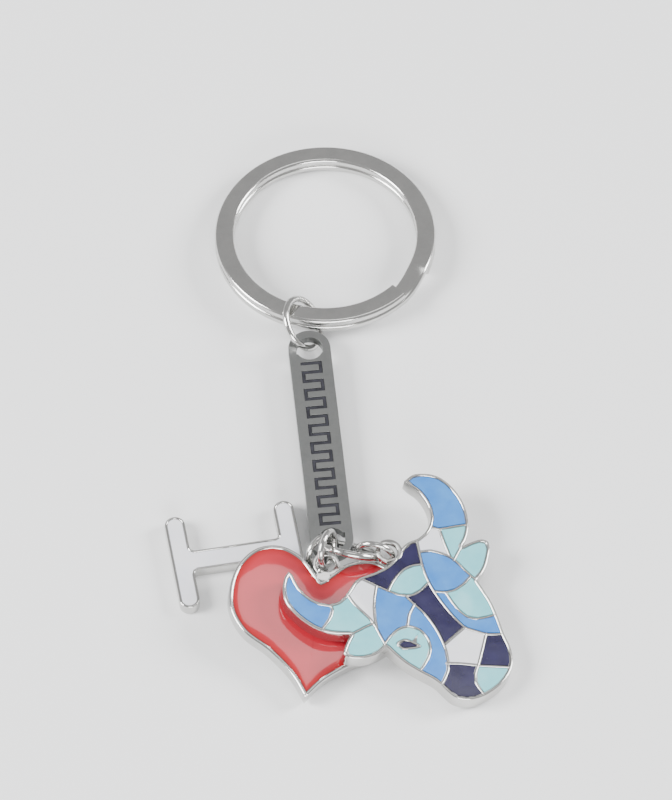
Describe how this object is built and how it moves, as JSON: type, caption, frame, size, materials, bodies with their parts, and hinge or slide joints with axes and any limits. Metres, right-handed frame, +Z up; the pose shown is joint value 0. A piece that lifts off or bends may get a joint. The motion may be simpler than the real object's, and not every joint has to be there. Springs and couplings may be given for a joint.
{
  "type": "souvenir keychain",
  "caption": "Souvenir keychain: a flat-wire split ring, jump rings, a flat key-pattern bar, and enamelled I, heart and mosaic bull's head charms.",
  "frame": {"origin": "middle of the footprint on the table the keychain is laid on", "axes": "+Z up from the table; +Y along the keychain, from the charms to the split ring"},
  "size_m": [0.0464, 0.0892, 0.0082],
  "materials": {
    "nickel": "polished nickel plate",
    "antique_nickel": "satin nickel plate",
    "black_fill": "black fill paint",
    "sky_enamel": "sky blue enamel",
    "cyan_enamel": "pale turquoise enamel",
    "navy_enamel": "dark blue-violet enamel",
    "white_enamel": "white enamel",
    "red_enamel": "translucent red enamel"
  },
  "bodies": {
    "split_ring": {"split_ring": "nickel"},
    "upper_ring": {"upper_jump_ring": "nickel"},
    "bar": {"name_bar": "antique_nickel", "bar_key_inlay": "black_fill"},
    "link_ring": {"link_ring": "nickel"},
    "i_ring": {"i_jump_ring": "nickel"},
    "heart_ring": {"heart_jump_ring": "nickel"},
    "bull_ring": {"bull_jump_ring": "nickel"},
    "i_charm": {"i_charm_body": "nickel", "i_charm_enamel": "white_enamel"},
    "heart_charm": {"heart_body": "nickel", "heart_enamel": "red_enamel"},
    "bull_charm": {"bull_body": "nickel", "bull_right_horn_enamel": "sky_enamel", "bull_horn_root_cyan_enamel": "cyan_enamel", "bull_horn_root_white_enamel": "white_enamel", "bull_right_ear_enamel": "cyan_enamel", "bull_forehead_navy_enamel": "navy_enamel", "bull_forehead_cyan_enamel": "cyan_enamel", "bull_crown_enamel": "sky_enamel", "bull_right_cheek_enamel": "cyan_enamel", "bull_cheek_stripe_enamel": "sky_enamel", "bull_nose_stripe_enamel": "navy_enamel", "bull_muzzle_white_enamel": "white_enamel", "bull_muzzle_right_enamel": "navy_enamel", "bull_muzzle_left_enamel": "navy_enamel", "bull_muzzle_cyan_enamel": "cyan_enamel", "bull_nose_side_enamel": "sky_enamel", "bull_left_cheek_enamel": "sky_enamel", "bull_eye_field_enamel": "cyan_enamel", "bull_eye_enamel": "navy_enamel", "bull_temple_enamel": "white_enamel", "bull_left_ear_upper_enamel": "cyan_enamel", "bull_left_ear_lower_enamel": "cyan_enamel", "bull_left_horn_enamel": "sky_enamel"}
  },
  "joints": [
    {"name": "upper_ring_flip", "type": "hinge", "parent": "split_ring", "child": "upper_ring", "pos_m": [-0.00457, 0.01614, 0.00279], "axis": [0.9789, -0.2042, 0.0114], "range_deg": [-60, 60]},
    {"name": "bar_swing", "type": "hinge", "parent": "upper_ring", "child": "bar", "pos_m": [-0.00426, 0.0117, 0.00211], "axis": [0, -0.007, 1], "range_deg": [-26, 45]},
    {"name": "link_ring_swing", "type": "hinge", "parent": "bar", "child": "link_ring", "pos_m": [-0.00099, -0.01925, 0.00177], "axis": [0, -0.007, 1], "range_deg": [-12, 35]},
    {"name": "i_ring_swing", "type": "hinge", "parent": "link_ring", "child": "i_ring", "pos_m": [-0.00211, -0.02072, 0.00382], "axis": [-0.0661, -0.6415, 0.7642], "range_deg": [-12, 6]},
    {"name": "heart_ring_swing", "type": "hinge", "parent": "link_ring", "child": "heart_ring", "pos_m": [-0.00145, -0.02244, 0.00561], "axis": [-0.1184, 0.1038, -0.9875], "range_deg": [0, 20]},
    {"name": "bull_ring_swing", "type": "hinge", "parent": "link_ring", "child": "bull_ring", "pos_m": [0.0054, -0.02267, 0.00376], "axis": [-0.1426, 0.0639, -0.9877], "range_deg": [-8, 11]},
    {"name": "i_charm_swing", "type": "hinge", "parent": "i_ring", "child": "i_charm", "pos_m": [-0.0033, -0.02294, 0.00138], "axis": [0, 0, -1], "range_deg": [-12, 6]},
    {"name": "heart_charm_swing", "type": "hinge", "parent": "heart_ring", "child": "heart_charm", "pos_m": [-0.00169, -0.02418, 0.00376], "axis": [0.3539, 0.6396, -0.6824], "range_deg": [0, 18]},
    {"name": "bull_charm_swing", "type": "hinge", "parent": "bull_ring", "child": "bull_charm", "pos_m": [0.00691, -0.02304, 0.00566], "axis": [0.1426, -0.0639, 0.9877], "range_deg": [-25, 60]}
  ]
}
